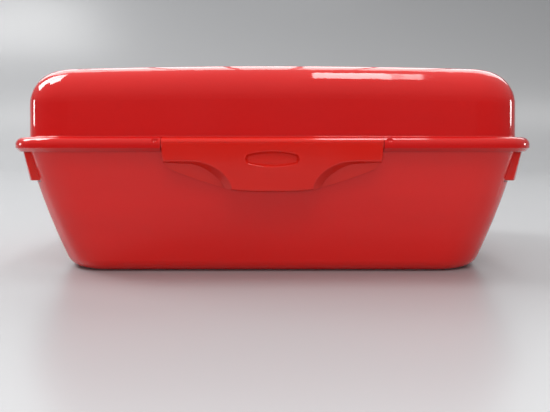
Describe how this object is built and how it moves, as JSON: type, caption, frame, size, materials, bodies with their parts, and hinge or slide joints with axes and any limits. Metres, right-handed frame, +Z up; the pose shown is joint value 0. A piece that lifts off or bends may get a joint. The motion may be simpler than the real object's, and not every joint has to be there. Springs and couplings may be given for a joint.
{
  "type": "lunch box",
  "caption": "Rectangular lunch box in glossy red plastic: tapered base tray, deep domed lid hinged at the back, wide slotted front latch and a clip at each end.",
  "frame": {"origin": "middle of the whole outline seen from above, on the surface that the box stands on", "axes": "+X along the width to the right seen from the front, -Y towards the front latch, +Z up"},
  "size_m": [0.1882, 0.133, 0.0752],
  "materials": {
    "base_plastic": "smooth glossy moulded polypropylene",
    "lid_plastic": "high-gloss moulded polypropylene",
    "latch_plastic": "high-gloss moulded polypropylene",
    "seal_silicone": "soft translucent silicone",
    "pin_steel": "drawn steel wire"
  },
  "bodies": {
    "base": {"base_tray": "base_plastic", "right_hinge_pin": "pin_steel", "left_hinge_pin": "pin_steel"},
    "lid": {"lid_shell": "lid_plastic", "lid_seal": "seal_silicone", "front_latch_pin": "pin_steel", "right_clip_pin": "pin_steel", "left_clip_pin": "pin_steel"},
    "front_latch": {"front_latch": "latch_plastic"},
    "right_clip": {"right_end_clip": "latch_plastic"},
    "left_clip": {"left_end_clip": "latch_plastic"}
  },
  "joints": [
    {"name": "lid_hinge", "type": "hinge", "parent": "base", "child": "lid", "pos_m": [0, 0.0645, 0.042], "axis": [-1, 0, 0], "range_deg": [0, 115]},
    {"name": "front_latch_hinge", "type": "hinge", "parent": "lid", "child": "front_latch", "pos_m": [0, -0.0641, 0.0468], "axis": [-1, 0, 0], "range_deg": [0, 90]},
    {"name": "right_clip_hinge", "type": "hinge", "parent": "lid", "child": "right_clip", "pos_m": [0.0906, -0.0015, 0.0425], "axis": [0, -1, 0], "range_deg": [0, 100]},
    {"name": "left_clip_hinge", "type": "hinge", "parent": "lid", "child": "left_clip", "pos_m": [-0.0906, -0.0015, 0.0425], "axis": [0, 1, 0], "range_deg": [0, 100]}
  ]
}
